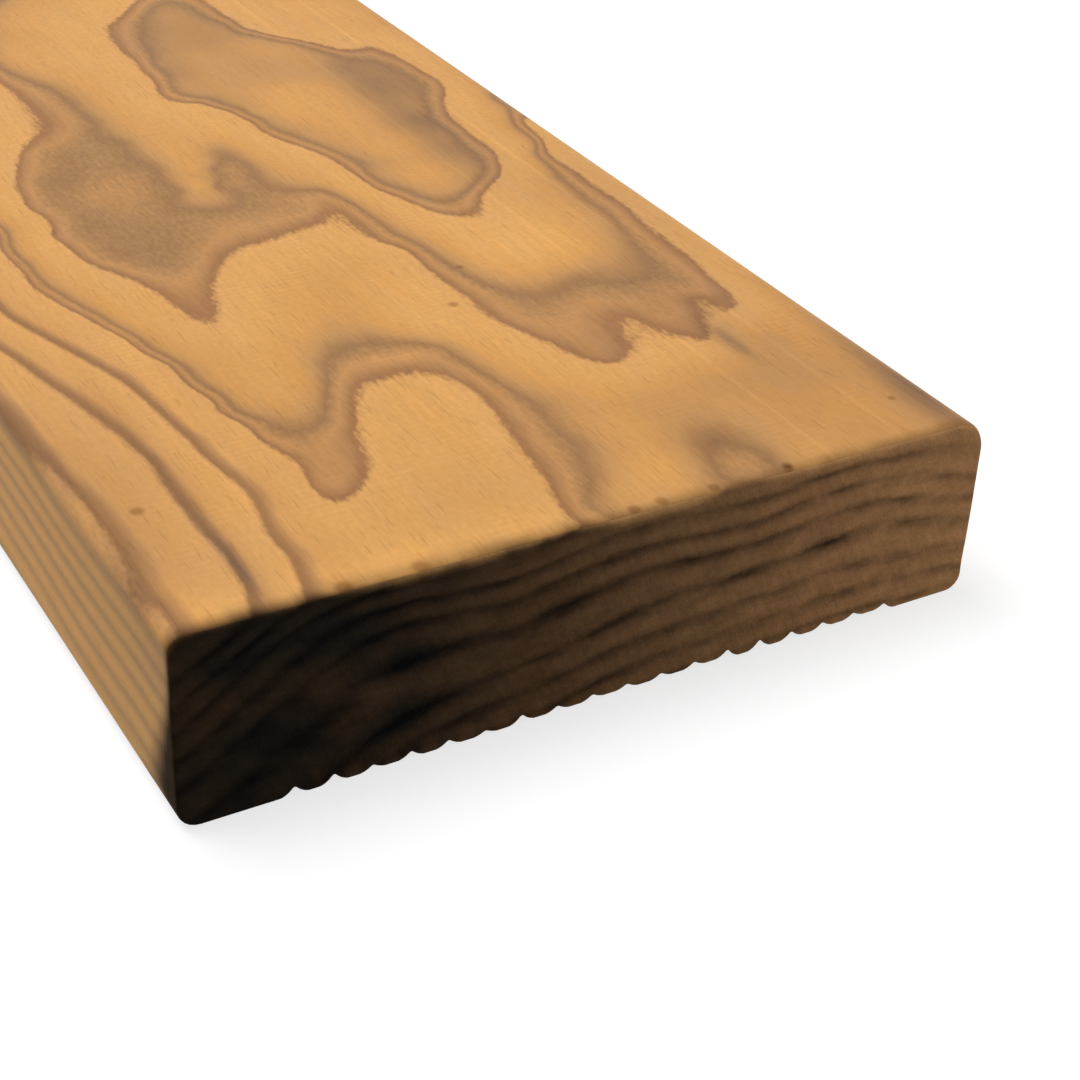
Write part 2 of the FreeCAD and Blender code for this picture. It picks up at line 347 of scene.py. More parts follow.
@dataclass
class ThinPlate:
    """A surface through scattered heights that bends as little as it can.

    The height at a place q is a plane plus the sum of w_k * d^2 * ln(d), where d is the
    distance from q to point k. One linear system gives the weights w_k and the plane,
    and the softness on its diagonal lets the surface pass a little beside a point.
    """

    points: np.ndarray
    heights: np.ndarray
    softness: float = 0.0
    weights: np.ndarray = field(init=False)
    plane: np.ndarray = field(init=False)

    def __post_init__(self) -> None:
        """Solve for the weights and the plane."""
        count = len(self.points)
        flat = np.column_stack([np.ones(count), self.points])
        bend = self.bend(self.points) + self.softness * np.eye(count)
        system = np.block([[bend, flat], [flat.T, np.zeros((3, 3))]])
        solved = np.linalg.solve(system, np.append(self.heights, np.zeros(3)))
        self.weights = solved[:count]
        self.plane = solved[count:]

    def bend(self, places: np.ndarray) -> np.ndarray:
        """Return d^2 * ln(d) for the distance d from each place to each point."""
        square = (places**2).sum(-1)[:, None] + (self.points**2).sum(-1)
        square = np.maximum(square - 2 * places @ self.points.T, 0)
        return 0.5 * square * np.log(square + 1e-9)

    def at(self, places: np.ndarray) -> np.ndarray:
        """Return the height at each place, worked out some thousands at a time."""
        parts = np.array_split(places, max(1, len(places) // 2000))
        bent = np.concatenate([self.bend(part) @ self.weights for part in parts])
        return bent + self.plane[0] + places @ self.plane[1:]


def listed(*tables: dict) -> tuple[np.ndarray, np.ndarray]:
    """Turn tables of age to places into one array of places and one of ages."""
    rows = [(*place, age) for table in tables for age, row in table.items() for place in row]
    every = np.array(rows, float)
    return every[:, :2], every[:, 2]


@dataclass
class GrowthRings:
    """The age of the wood at every place of the board, counted in rings.

    Over the near stretch of the tread face the age follows the figure traced above, and
    further along it is a long swell that crowns and sinks as a flat-sawn board's does.
    Below the tread face it falls with depth in the way that the near end shows.
    """

    thickness: float
    figured_to: float = 212.0
    faded_by: float = 300.0
    crown: float = 20.0
    crown_bend: float = 0.00045
    wave_count: int = 28
    softness: float = 0.8
    end_softness: float = 2.5
    rim_reach: float = 2.0
    seed: int = 7
    figure: ThinPlate = field(init=False)
    end: ThinPlate = field(init=False)

    def __post_init__(self) -> None:
        """Draw the small waves, then fit the tread face's figure and the near end's."""
        rng = np.random.default_rng(self.seed)
        self.wave_along = 2 * math.pi / rng.uniform(30, 190, self.wave_count)
        self.wave_across = 2 * math.pi / 36 * rng.uniform(-1, 1, self.wave_count)
        self.wave_start = rng.uniform(0, 2 * math.pi, self.wave_count)
        places, ages = listed(LATE_WOOD_ENDS, LATE_WOOD_STARTS, BETWEEN_EDGES)
        calm = np.column_stack([np.full(7, self.faded_by), np.linspace(-58, 58, 7)])
        over_swell = ages - self.swell(places[:, 0], places[:, 1])
        self.figure = ThinPlate(
            np.concatenate([places, calm]),
            np.append(over_swell, np.zeros(len(calm))),
            self.softness,
        )
        self.rim = np.linspace(-60, 60, 121)
        rim_ages = self.on_tread(np.zeros_like(self.rim), self.rim)
        rim_places = np.column_stack([self.rim, np.full_like(self.rim, self.thickness)])
        places, ages = listed(RINGS_ON_END)
        self.end = ThinPlate(
            np.concatenate([places, rim_places[4:-1:8]]),
            np.append(ages, rim_ages[4:-1:8]),
            self.end_softness,
        )
        self.rim_gap = rim_ages - self.end.at(rim_places)

    def swell(self, along: np.ndarray, across: np.ndarray) -> np.ndarray:
        """Return the age on the tread face by the board's long swells alone.

        It grows with the square of the distance from a crown line that wanders from side
        to side, three slow waves along the board raise and lower it, and many weak waves
        in scattered directions roughen it.
        """
        run = 2 * math.pi * (along - self.figured_to)
        crown = self.crown + 17 * np.sin(run / 530) + 9 * np.sin(run / 207)
        slow = 0.95 * np.sin(run / 690) - 0.5 * np.sin(run / 310 + 0.3)
        slow = slow + 0.28 * np.sin(run / 143 + 0.2)
        turn = np.multiply.outer(along, self.wave_along)
        turn = turn + np.multiply.outer(across, self.wave_across) + self.wave_start
        rough = 0.055 * np.cos(turn).sum(-1)
        return self.crown_bend * (across - crown) ** 2 + slow + rough - 0.1

    def on_tread(self, along: np.ndarray, across: np.ndarray) -> np.ndarray:
        """Return the age on the tread face: the swell, plus the figure where it is near."""
        age = self.swell(along, across)
        near = along < self.faded_by
        span = self.faded_by - self.figured_to
        share = smooth_step((self.faded_by - along[near]) / span)
        places = np.column_stack([along[near], across[near]])
        age[near] += share * self.figure.at(places)
        return age

    def at(self, across: np.ndarray, along: np.ndarray, up: np.ndarray) -> np.ndarray:
        """Return the age anywhere in the board.

        It is the tread face's age above that place, less what the near end loses between
        the tread face and the same depth. That loss swings slowly along the board. Where
        the two traced figures disagree at the near rim, the end's holds from a skin of a
        few millimetres downwards.
        """
        over = np.column_stack([across, np.full_like(up, self.thickness)])
        loss = self.end.at(over) - self.end.at(np.column_stack([across, up]))
        swing = 1 + 0.07 * np.sin(along / 71) * smooth_step(along / 60)
        below = 1 - np.exp((up - self.thickness) / self.rim_reach)
        gap = np.interp(across, self.rim, self.rim_gap)
        return self.on_tread(along, across) - loss * swing - gap * below


@dataclass(frozen=True)
class Section:
    """The board's cross-section: across and up from the middle of its underside, mm."""

    width: float
    thickness: float
    tread_left: float = 1.8
    tread_right: float = 4.8
    under_left: float = 3.0
    under_right: float = 2.5
    left_margin: float = 15.3
    groove_count: int = 18
    groove_pitch: float = 5.35
    groove_depth: float = 1.2
    groove_root: float = 0.35
    rib_crest: float = 1.0

    def rib_radius(self) -> float:
        """Return the radius R of a rib's round back.

        The rib's centre is sqrt(R^2 - c^2) up, with c half its crest, and half a pitch p
        aside of the groove's root circle of radius r, whose centre is q = depth - r up.
        The circles touch, so R r + q sqrt(R^2 - c^2) = k = (p^2 - c^2 + q^2 - r^2) / 2,
        which is a quadratic in R.
        """
        p, c, r = self.groove_pitch / 2, self.rib_crest / 2, self.groove_root
        q = self.groove_depth - r
        k = (p**2 - c**2 + q**2 - r**2) / 2
        square = k**2 + (q * c) ** 2
        return square / (k * r + math.sqrt((k * r) ** 2 + (q**2 - r**2) * square))

    def groove_middles(self) -> np.ndarray:
        """Return the middle of each groove across the board, from the left."""
        first = self.left_margin - self.width / 2
        return first + self.groove_pitch * np.arange(self.groove_count)

    def reeded(self) -> np.ndarray:
        """Return the underside from the first groove's near crest to the last one's.

        Each groove is the root's arc between two ribs' arcs. At a distance a from the
        groove's middle the root's arc is q + sqrt(r^2 - a^2) up, and the rib's arc is
        sqrt(R^2 - c^2) - sqrt(R^2 - (p - a)^2) up.
        """
        radius = self.rib_radius()
        half_pitch, half_crest = self.groove_pitch / 2, self.rib_crest / 2
        touch = self.groove_root / (self.groove_root + radius) * half_pitch
        flank = np.linspace(touch, half_pitch - half_crest, 6)
        half = np.concatenate([[touch / 2], flank])
        aside = np.concatenate([-half[::-1], [0.0], half])
        root = self.groove_depth - self.groove_root
        root = root + np.sqrt(np.clip(self.groove_root**2 - aside**2, 0, None))
        rib = math.sqrt(radius**2 - half_crest**2)
        rib = rib - np.sqrt(radius**2 - (half_pitch - np.abs(aside)) ** 2)
        up = np.where(np.abs(aside) < touch, root, np.clip(rib, 0, None))
        across = self.groove_middles()[:, None] + aside[None, :]
        return np.column_stack([across.ravel(), np.tile(up, self.groove_count)])

    def arris(self, radius: float, segments: int) -> np.ndarray:
        """Return a quarter circle as offsets from the blank's corner, side first.

        Args:
            radius: The arris's radius.
            segments: Straight pieces that stand for the quarter circle.

        Returns:
            The offsets inwards from the side, and inwards from the face.
        """
        turn = np.linspace(0, math.pi / 2, segments + 1)
        return radius * np.column_stack([1 - np.cos(turn), 1 - np.sin(turn)])

    def over(self, columns: int) -> np.ndarray:
        """Return the line from the left arris over the tread face to the right one.

        Args:
            columns: Straight pieces across the flat of the tread face.

        Returns:
            The line's points, across and up.
        """
        left = [-self.width / 2, self.thickness] + self.arris(self.tread_left, 6) * [1, -1]
        right = [self.width / 2, self.thickness] - self.arris(self.tread_right, 9)
        flat = np.linspace(left[-1, 0], right[-1, 0], columns + 1)[1:-1]
        face = np.column_stack([flat, np.full_like(flat, self.thickness)])
        return np.concatenate([left, face, right[::-1]])

    def under(self) -> np.ndarray:
        """Return the line from the left lower arris along the reeds to the right one."""
        left = [-self.width / 2, 0] + self.arris(self.under_left, 6)
        right = [self.width / 2, 0] + self.arris(self.under_right, 6) * [-1, 1]
        reeds = self.reeded()
        margins = []
        for start, stop in ((left[-1, 0], reeds[0, 0]), (reeds[-1, 0], right[-1, 0])):
            plain = np.linspace(start, stop, 6)[1:-1]
            margins.append(np.column_stack([plain, np.zeros_like(plain)]))
        return np.concatenate([left, margins[0], reeds, margins[1], right[::-1]])

    def inside(self, across: np.ndarray, up: np.ndarray) -> tuple[np.ndarray, np.ndarray]:
        """Measure how deep inside the outline places lie, leaving the grooves aside.

        The outline is a box with four round corners. A corner's depth is its radius less
        the distance to its centre, and elsewhere the depth is the distance to the
        nearest side.

        Args:
            across: Places across the board.
            up: The same places' heights.

        Returns:
            The depths, and the unit direction out of the outline at each place.
        """
        rise = up - self.thickness / 2
        left = across < 0
        tread = np.where(left, self.tread_left, self.tread_right)
        under = np.where(left, self.under_left, self.under_right)
        radius = np.where(rise > 0, tread, under)
        beyond = np.stack(
            [
                np.abs(across) - (self.width / 2 - radius),
                np.abs(rise) - (self.thickness / 2 - radius),
            ],
            -1,
        )
        in_corner = (beyond > 0).all(-1)
        sideways = beyond[:, 0] > beyond[:, 1]
        nearest = np.stack([sideways, ~sideways], -1).astype(float)
        reach = np.linalg.norm(beyond, axis=-1)
        depth = radius - np.where(in_corner, reach, beyond.max(-1))
        corner = beyond / np.maximum(reach, 1e-9)[:, None]
        out = np.where(in_corner[:, None], corner, nearest)
        return depth, out * np.stack([np.sign(across), np.sign(rise)], -1)


class Lay(Enum):
    """Where a stretch lies in the bake: first pixel, pixels a mm, and length of a strip.

    A long stretch is cut into strips that lie above each other. The first two numbers
    are the corner, the next two the scale along and across, then the strip's length and
    how far up the next strip starts.
    """

    WRAP = (10.0, 4.0, 1.66, 1.44, 600.0, 246.0)
    UNDER = (10.0, 742.0, 1.11, 0.74, 900.0, 109.0)
    NEAR_END = (10.0, 962.0, 2.0, 2.0, math.inf, 0.0)
    FAR_END = (262.0, 962.0, 2.0, 2.0, math.inf, 0.0)


@dataclass
class Stretch:
    """A stretch of the board's skin: points in mm, faces, and its flat layout in mm."""

    points: np.ndarray
    flat: np.ndarray
    faces: np.ndarray
    outward: tuple[float, float, float]
    face: Face
    lay: Lay

    def __post_init__(self) -> None:
        """Turn the faces over if they look inwards."""
        corners = self.points[self.faces[:, :3]]
        normals = np.cross(corners[:, 1] - corners[:, 0], corners[:, 2] - corners[:, 0])
        if normals.sum(0) @ np.array(self.outward) < 0:
            self.faces = self.faces[:, ::-1]

    @staticmethod
    def grid(rows: int, columns: int) -> np.ndarray:
        """Return the quads that join a grid of points."""
        number = np.arange(rows * columns).reshape(rows, columns)
        corners = [number[:-1, :-1], number[:-1, 1:], number[1:, 1:], number[1:, :-1]]
        return np.stack(corners, -1).reshape(-1, 4)

    @staticmethod
    def lacing(first: np.ndarray, second: np.ndarray) -> np.ndarray:
        """Return triangles that lace two lines of points together.

        The points of both lines are taken in order of their places. Each makes a
        triangle with the one before it on its line and the last passed on the other.

        Args:
            first: Places of the first line's points, rising.
            second: Places of the second line's points, from the same to the same end.

        Returns:
            The triangles, with the second line's points numbered after the first's.
        """
        places = np.concatenate([first[1:], second[1:]])
        on_second = np.repeat([False, True], [len(first) - 1, len(second) - 1])
        on_second = on_second[np.lexsort((on_second, places))]
        a = np.cumsum(~on_second)
        b = np.cumsum(on_second) + len(first)
        step_a = np.column_stack([a - 1, a, b])
        step_b = np.column_stack([a, b, b - 1])
        return np.where(on_second[:, None], step_b, step_a)

    def spots(self) -> np.ndarray:
        """Return the bake pixel of each face's corners, strip by strip."""
        corner_u, corner_v, scale_u, scale_v, strip, rise = self.lay.value
        along, across = np.moveaxis(self.flat[self.faces], -1, 0)
        number = np.floor(along.mean(1, keepdims=True) / strip)
        offset = np.where(number > 0, number * strip, 0) if strip < math.inf else 0.0
        u = corner_u + (along - offset) * scale_u
        v = corner_v + across * scale_v + number * rise
        return np.stack([u, v], -1).reshape(-1, 2)


@dataclass
class ReededBoard:
    """The decking board: one closed skin with its rings, arrises, reeds and worn ends."""

    low: Vector
    high: Vector
    columns: int = 136
    fine_to: float = 226.0
    fine_step: float = 1.25
    coarse_step: float = 14.0
    under_step: float = 25.0
    seam: float = 3.6
    image: float = 1024.0
    left_wear: float = 0.55
    right_wear: float = 1.25
    side_wear: float = 0.35
    under_wear: float = 0.12
    far_wear: float = 0.3
    sharp: float = 50.0
    section: Section = field(init=False)
    rings: GrowthRings = field(init=False)

    def __post_init__(self) -> None:
        """Take the outer sizes from the CAD box, in millimetres."""
        self.length = (self.high.y - self.low.y) / MM
        width = (self.high.x - self.low.x) / MM
        thickness = (self.high.z - self.low.z) / MM
        self.section = Section(round(width, 3), round(thickness, 3))
        self.rings = GrowthRings(self.section.thickness)

    def stations(self) -> np.ndarray:
        """Return the rows of the tread face and the sides, as distances along.

        They crowd at both ends, are even over the figured stretch and spread beyond it.
        One stands where the bake starts each new strip.
        """
        close = np.array([0, 0.2, 0.45, 0.8, 1.25, 1.9])
        fine = np.arange(2.8, self.fine_to, self.fine_step)
        steps = np.minimum(self.fine_step * 1.05 ** np.arange(300), self.coarse_step)
        far = fine[-1] + np.cumsum(steps)
        folds = np.arange(1, 3) * Lay.WRAP.value[4]
        apart = np.abs(far[:, None] - folds[None, :]).min(1)
        far = far[(far < self.length - 5) & (apart > self.coarse_step / 3)]
        return np.sort(np.concatenate([close, fine, far, folds, self.length - close]))

    def under_stations(self) -> np.ndarray:
        """Return the rows of the reeded underside, as distances along."""
        close = np.array([0, 0.45, 1.25, 3, 7, 13])
        even = np.arange(self.under_step, self.length - 15, self.under_step)
        return np.sort(np.concatenate([close, even, self.length - close]))

    def skin(self) -> list[Stretch]:
        """Cover the board with stretches that share their outlines.

        A long stretch is a line of the section repeated at each station. An end is a
        sheet of upright lines between the seam's height and the tread line, and laced
        triangles close what is left between lines that are spaced differently.
        """
        along, under_along = self.stations(), self.under_stations()
        over, under = self.section.over(self.columns), self.section.under()
        half = self.section.width / 2
        close = 1 - np.array([1.9, 1.2, 0.75, 0.42, 0.2, 0]) / self.section.thickness
        share = np.concatenate([np.linspace(0, 0.88, 19), close])
        girth = np.append(0, np.hypot(*np.diff(over, axis=0).T).cumsum())
        reed_girth = np.append(0, np.hypot(*np.diff(under, axis=0).T).cumsum())

        def run(line: np.ndarray, places: np.ndarray) -> np.ndarray:
            """Repeat a line of the section at places along the board."""
            points = np.empty((len(places), len(line), 3))
            points[..., 0], points[..., 2] = line[:, 0], line[:, 1]
            points[..., 1] = places[:, None]
            return points.reshape(-1, 3)

        def laid(places: np.ndarray, around: np.ndarray) -> np.ndarray:
            """Lay the same grid flat: along the board, and round its section."""
            return np.stack(np.meshgrid(places, around, indexing="ij"), -1).reshape(-1, 2)

        left_tall, right_tall = over[0, 1] - under[0, 1], over[-1, 1] - under[-1, 1]
        made = [
            Stretch(
                run(over, along),
                laid(along, left_tall + girth),
                Stretch.grid(len(along), len(over)),
                (0, 0, 1),
                Face.PLANED,
                Lay.WRAP,
            ),
            Stretch(
                run(under, under_along),
                laid(under_along, reed_girth),
                Stretch.grid(len(under_along), len(under)),
                (0, 0, -1),
                Face.PLANED,
                Lay.UNDER,
            ),
        ]
        for sign, place in ((-1, 0), (1, -1)):
            foot, head = under[place, 1], over[place, 1]
            upright = self.seam + share * (head - self.seam)
            line = np.column_stack([np.full_like(upright, sign * half), upright])
            edge = np.array([[sign * half, foot]])
            bottom = 0.0 if sign < 0 else left_tall + girth[-1] + right_tall
            around = bottom - sign * (upright - foot)
            start = np.array([bottom])
            made.append(
                Stretch(
                    run(line, along),
                    laid(along, around),
                    Stretch.grid(len(along), len(line)),
                    (sign, 0, 0),
                    Face.PLANED,
                    Lay.WRAP,
                )
            )
            made.append(
                Stretch(
                    np.concatenate([run(line[:1], along), run(edge, under_along)]),
                    np.concatenate([laid(along, around[:1]), laid(under_along, start)]),
                    Stretch.lacing(along, under_along),
                    (sign, 0, 0),
                    Face.PLANED,
                    Lay.WRAP,
                )
            )
        for place, sign, lay in ((0.0, -1, Lay.NEAR_END), (self.length, 1, Lay.FAR_END)):
            foot_line = np.column_stack([over[:, 0], np.full(len(over), self.seam)])
            rise = self.seam + share[:, None] * (over[:, 1] - self.seam)
            sheet = np.stack([np.broadcast_to(over[:, 0], rise.shape), rise], -1)
            sheet = sheet.reshape(-1, 2)
            laced = np.concatenate([foot_line, under])
            for flat, faces in (
                (sheet, Stretch.grid(len(share), len(over))),
                (laced, Stretch.lacing(foot_line[:, 0], under[:, 0])),
            ):
                made.append(
                    Stretch(
                        np.column_stack([flat[:, 0], np.full(len(flat), place), flat[:, 1]]),
                        flat + [half, 0],
                        faces,
                        (0, sign, 0),
                        Face.SAWN,
                        lay,
                    )
                )
        return made

    def worn(self, points: np.ndarray) -> np.ndarray:
        """Round the ends' edges as the saw and handling have, and uneven the reeds.

        Where a place is less than a radius r deep both from the outline and from the end,
        it moves straight away from the line that lies r inside both, out to r from it.
        The radius swings along the edge, and on the near end's tread arris it grows from
        left to right. The ribs and grooves are then planed off or deepened, each by its
        own amount, by a share that runs from the rib's crest to the groove's root.

        Args:
            points: The skin's points as drawn.

        Returns:
            The points after wear.
        """
        across, along, up = points.T
        section = self.section
        depth, out = section.inside(across, up)
        from_end = np.minimum(along, self.length - along)
        is_near = along < self.length / 2
        swing = 0.4 * smooth_noise(across, 6.5, 11) + 0.25 * smooth_noise(across, 2.1, 12)
        share = smooth_step((across + 50) / 90)
        tread = (self.left_wear + (self.right_wear - self.left_wear) * share) * (1 + swing)
        side = self.side_wear * (1 + 0.5 * smooth_noise(across + up, 4.3, 13))
        near = side + (tread - side) * smooth_step((up - section.thickness + 6) / 4)
        near = self.under_wear + (near - self.under_wear) * smooth_step(up / 5)
        far = self.far_wear * (1 + 0.4 * smooth_noise(across - up, 3.4, 14))
        radius = np.where(is_near, near, far)
        aside, back = radius - depth, radius - from_end
        held = (aside > 0) & (back > 0)
        reach = np.maximum(np.hypot(aside, back), 1e-6)
        inwards = np.where(held, aside - radius * aside / reach, 0.0)
        along_in = np.where(held, back - radius * back / reach, 0.0)
        moved = points.copy()
        moved[:, 0] -= out[:, 0] * inwards
        moved[:, 2] -= out[:, 1] * inwards
        moved[:, 1] += np.where(is_near, along_in, -along_in)
        place = (across - section.groove_middles()[0]) / section.groove_pitch
        rib = np.clip(np.floor(place) + 1, 0, section.groove_count).astype(int)
        planed = np.array((0.0, *RIBS_PLANED_OFF, 0.0))[rib]
        groove = np.clip(np.round(place), 0, section.groove_count - 1).astype(int)
        deeper = np.array(GROOVES_DEEPER)[groove]
        risen = np.clip(up / section.groove_depth, 0, 1)
        low = (up < section.groove_depth + 0.01) & (np.abs(across) < section.width / 2 - 4)
        change = (1 - risen) * planed + risen * deeper
        moved[:, 2] += np.where(low, change, 0)
        return moved

    def stain_and_painted_shade(self, points: np.ndarray) -> np.ndarray:
        """Return how dark the end grain is made, from 0 to 1, by treatment stain and painted
        shade.

        On the near end the darkening eases from nothing at the right edge to nearly black at
        the left. It is partly the treatment's stain and partly painted shade. On the far end
        it is faint and even.
        """
        across, along, up = points.T
        # Painted shade together with stain: darker from the near end's right edge to its left
        share = 0.93 * smooth_step((58 - across) / 108)
        share += 0.02 * smooth_noise(across, 7, 17)
        return np.clip(np.where(along < self.length / 2, share, 0.3), 0, 1)

    def crept(self, points: np.ndarray) -> np.ndarray:
        """Follow the end's stain across the rim on to the planed faces.

        The distance from the rim is positive along the board and negative into the end.
        The stain fades over a soft width round the distance that it reaches, which on
        the near tread arris is a traced line, and on the side grows downwards. Beside
        it the tread face has an uneven half-dark band of a few millimetres.

        Args:
            points: The skin's points as drawn.

        Returns:
            How dark each place is, from 0 to 1.
        """
        across, along, up = points.T
        depth, _ = self.section.inside(across, up)
        passed = np.minimum(along, self.length - along) - depth
        is_near = along < self.length / 2
        at_tread = smooth_step((up - self.section.thickness + 3) / 2)
        over = np.interp(across, *np.transpose(STAIN_OVER_ARRIS))
        over += 0.25 * smooth_noise(across, 1.7, 18)
        low = smooth_step((22 - up) / 20) * smooth_step((-across - 40) / 15)
        side = 0.8 + 6.6 * low
        reach = np.where(is_near, side + (over - side) * at_tread, 0.35)
        soft = 2.5 + 5 * low
        soft += (2.1 + 2 * smooth_step((-across - 38) / 6) - soft) * at_tread
        soft = np.where(is_near, soft, 0.7)
        dark = 1 - smooth_step((passed - reach) / soft + 0.5)
        left = smooth_step(-across / 9)
        fade = 2.5 + 0.9 * left + 0.7 * smooth_noise(across, 3.4, 20)
        band = 0.66 - 0.2 * left + 0.2 * smooth_noise(across, 2.6, 19)
        band *= 1 - smooth_step((passed - np.maximum(reach, 0)) / fade)
        band *= at_tread * is_near * smooth_step(passed / 0.3 + 1)
        band *= np.interp(across, *np.transpose(BAND_BESIDE_STAIN))
        band *= smooth_step((across + 43) / 7)
        return 1 - (1 - dark) * (1 - band)

    def patched(self, points: np.ndarray) -> np.ndarray:
        """Return how brown the planed wood is beyond its rings' own colour.

        Each patch adds its amount times exp(-(a / reach along)^2 - (b / reach across)^2),
        for the distances a and b from its middle. The sides are browner towards the near
        end, most so high up.

        Args:
            points: The skin's points as drawn.

        Returns:
            The brownness, 0 for plain wood.
        """
        across, along, up = points.T
        on_tread = smooth_step((up - self.section.thickness + 4) / 4)
        total = np.zeros(len(points))
        for middle, aside, long, wide, amount in BROWN_PATCHES:
            spread = ((along - middle) / long) ** 2 + ((across - aside) / wide) ** 2
            total += amount * np.exp(-spread)
        high = 0.5 + 0.5 * smooth_step((up - 14) / 8)
        beside = high * (1 - on_tread) * np.exp(-along / 16)
        return total * on_tread + beside

    def soaked(self, points: np.ndarray) -> np.ndarray:
        """Return how much more than its surroundings the near end drank at each place."""
        across, along, up = points.T
        total = np.zeros(len(points))
        for aside, height, wide, tall, amount in SOAKED_PATCHES:
            spread = ((across - aside) / wide) ** 2 + ((up - height) / tall) ** 2
            total += amount * np.exp(-spread)
        return np.where(along < self.length / 2, total, 0)

    def build(self) -> bpy.types.Object:
        """Join the stretches into one mesh with its ages, stains, painted shade and bake
        layout.
        """
        made = self.skin()
        starts = np.cumsum([0] + [len(part.points) for part in made])
        ideal = np.concatenate([part.points for part in made])
        keys = np.round(ideal / 1e-4).astype(np.int64)
        _, chosen, same = np.unique(keys, axis=0, return_index=True, return_inverse=True)
        same = same.reshape(-1)
        ideal = ideal[chosen]
        points = self.worn(ideal)
        faces = [same[part.faces + start] for part, start in zip(made, starts)]
        mesh = bpy.data.meshes.new("decking_board")
        place = (points * MM + [0, self.low.y, self.low.z]).tolist()
        mesh.from_pydata(place, [], [face for part in faces for face in part.tolist()])
        kinds = np.concatenate([np.full(len(p.faces), p.face.value) for p in made])
        mesh.polygons.foreach_set("material_index", kinds.astype(np.int32))
        spots = np.concatenate([part.spots() for part in made]) / self.image
        layer = mesh.uv_layers.new(name=BAKE_MAP)
        layer.uv.foreach_set("vector", spots.astype(np.float32).ravel())
        for name, values in (
            (AGE, self.rings.at(ideal[:, 0], ideal[:, 1], ideal[:, 2])),
            (BROWN, self.patched(ideal)),
            (END_STAIN_AND_SHADE, self.stain_and_painted_shade(ideal)),
            (CREEP, self.crept(ideal)),
            (SOAK, self.soaked(ideal)),
        ):
            stored = mesh.attributes.new(name, "FLOAT", "POINT")
            stored.data.foreach_set("value", values.astype(np.float32))
        mesh.shade_smooth()
        mesh.set_sharp_from_angle(angle=math.radians(self.sharp))
        mesh.update()
        board = bpy.data.objects.new("pine_decking_board", mesh)
        bpy.context.scene.collection.objects.link(board)
        return board

    def dress(self, board: bpy.types.Object) -> None:
        """Give the board its two finishes, in the order of the Face list."""
        for finish in (PlanedPine(), SawnEndGrain()):
            board.data.materials.append(finish.material())


def linear(colour: str) -> tuple[float, float, float, float]:
    """Turn an sRGB hex colour into linear red, green, blue and an alpha of 1."""
    shares = [int(colour[i : i + 2], 16) / 255 for i in (1, 3, 5)]
    parts = [s / 12.92 if s <= 0.04045 else ((s + 0.055) / 1.055) ** 2.4 for s in shares]
    return (*parts, 1.0)


def add_node(
    tree: bpy.types.NodeTree,
    kind: str,
    inputs: dict | None = None,
    stops: list[tuple[float, str]] | None = None,
    **settings: object,
) -> bpy.types.Node:
    """Add a node, set its properties, and fill or link its inputs.

    Args:
        tree: The node tree.
        kind: Blender's name for the node's type.
        inputs: Values for its inputs by name or number, or outputs to link to them.
        stops: For a colour ramp, its places and sRGB colours in rising order.
        **settings: The node's own properties.

    Returns:
        The new node.
    """
    made = tree.nodes.new(kind)
    for name, value in settings.items():
        setattr(made, name, value)
    for key, value in (inputs or {}).items():
        if isinstance(value, bpy.types.NodeSocket):
            tree.links.new(value, made.inputs[key])
        else:
            made.inputs[key].default_value = value
    if stops:
        elements = made.color_ramp.elements
        while len(elements) < len(stops):
            elements.new(1.0)
        for element, (place, colour) in zip(elements, stops):
            element.position = place
            element.color = linear(colour)
    return made


